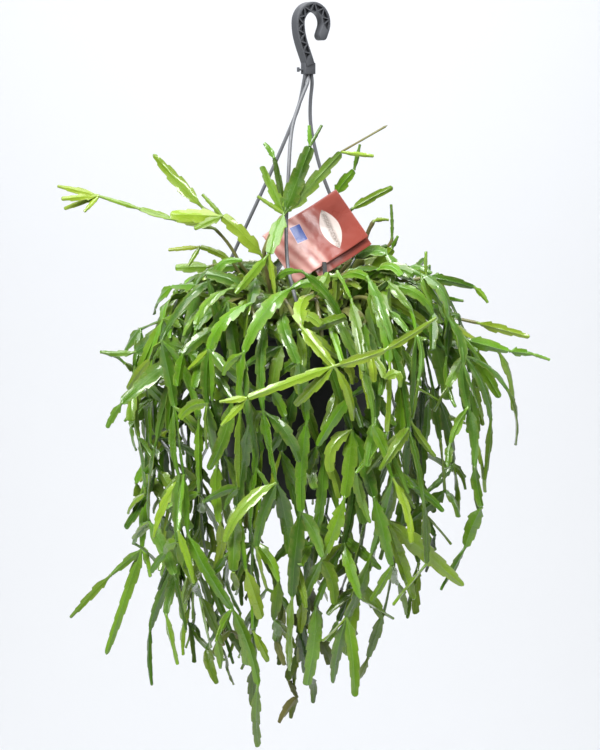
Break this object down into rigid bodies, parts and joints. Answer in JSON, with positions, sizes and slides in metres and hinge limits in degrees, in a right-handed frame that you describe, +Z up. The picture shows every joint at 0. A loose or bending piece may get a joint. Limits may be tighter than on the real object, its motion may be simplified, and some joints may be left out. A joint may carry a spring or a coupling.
{
  "type": "hanging potted plant",
  "caption": "Chain cactus with long trailing flat jointed stems in a round plastic hanging pot with a rod hanger, a hook and a folded plant label.",
  "frame": {"origin": "the point inside the hook's bend that rests on a rail or a nail", "axes": "+Z up, +X to the viewer's right as the picture shows it, -Y towards the viewer"},
  "size_m": [0.4401, 0.2812, 0.6643],
  "materials": {
    "hanger_hook": "moulded grey plastic, half matt",
    "hanger_rod": "smooth grey plastic",
    "pot": "moulded charcoal plastic, half matt",
    "soil": "loose dark potting mix with bark and pale grains",
    "plant_label": "glossy printed card, dull red",
    "label_stake": "dark plastic",
    "stem": "waxy fleshy green, firm and half glossy"
  },
  "bodies": {
    "root": {"hanger_hook": "hanger_hook", "hanger_rod_left": "hanger_rod", "hanger_rod_front": "hanger_rod", "hanger_rod_right": "hanger_rod", "pot": "pot", "soil": "soil", "plant_label": "plant_label", "label_stake": "label_stake", "stem_left_spray": "stem", "stem_left_arch": "stem", "stem_left_low": "stem", "stem_left_paddle": "stem", "stem_centre_fan": "stem", "stem_behind_label": "stem", "stem_right_curl": "stem", "stem_right_pair": "stem", "stem_right_arm": "stem", "stem_right_bar": "stem", "stem_right_spray": "stem", "stem_right_wand": "stem", "stem_right_droop": "stem", "stem_front_sweep": "stem", "stem_front_fork": "stem", "stem_left_broad": "stem", "stem_left_shelf": "stem", "stem_front_bar": "stem", "stem_left_tail": "stem", "stem_right_tail": "stem", "stem_01": "stem", "stem_02": "stem", "stem_03": "stem", "stem_04": "stem", "stem_05": "stem", "stem_06": "stem", "stem_07": "stem", "stem_08": "stem", "stem_09": "stem", "stem_10": "stem", "stem_11": "stem", "stem_12": "stem", "stem_13": "stem", "stem_14": "stem", "stem_15": "stem", "stem_16": "stem", "stem_17": "stem", "stem_18": "stem", "stem_19": "stem", "stem_20": "stem", "stem_21": "stem", "stem_22": "stem", "stem_23": "stem", "stem_24": "stem", "stem_25": "stem", "stem_26": "stem", "stem_27": "stem", "stem_28": "stem", "stem_29": "stem"}
  },
  "joints": []
}
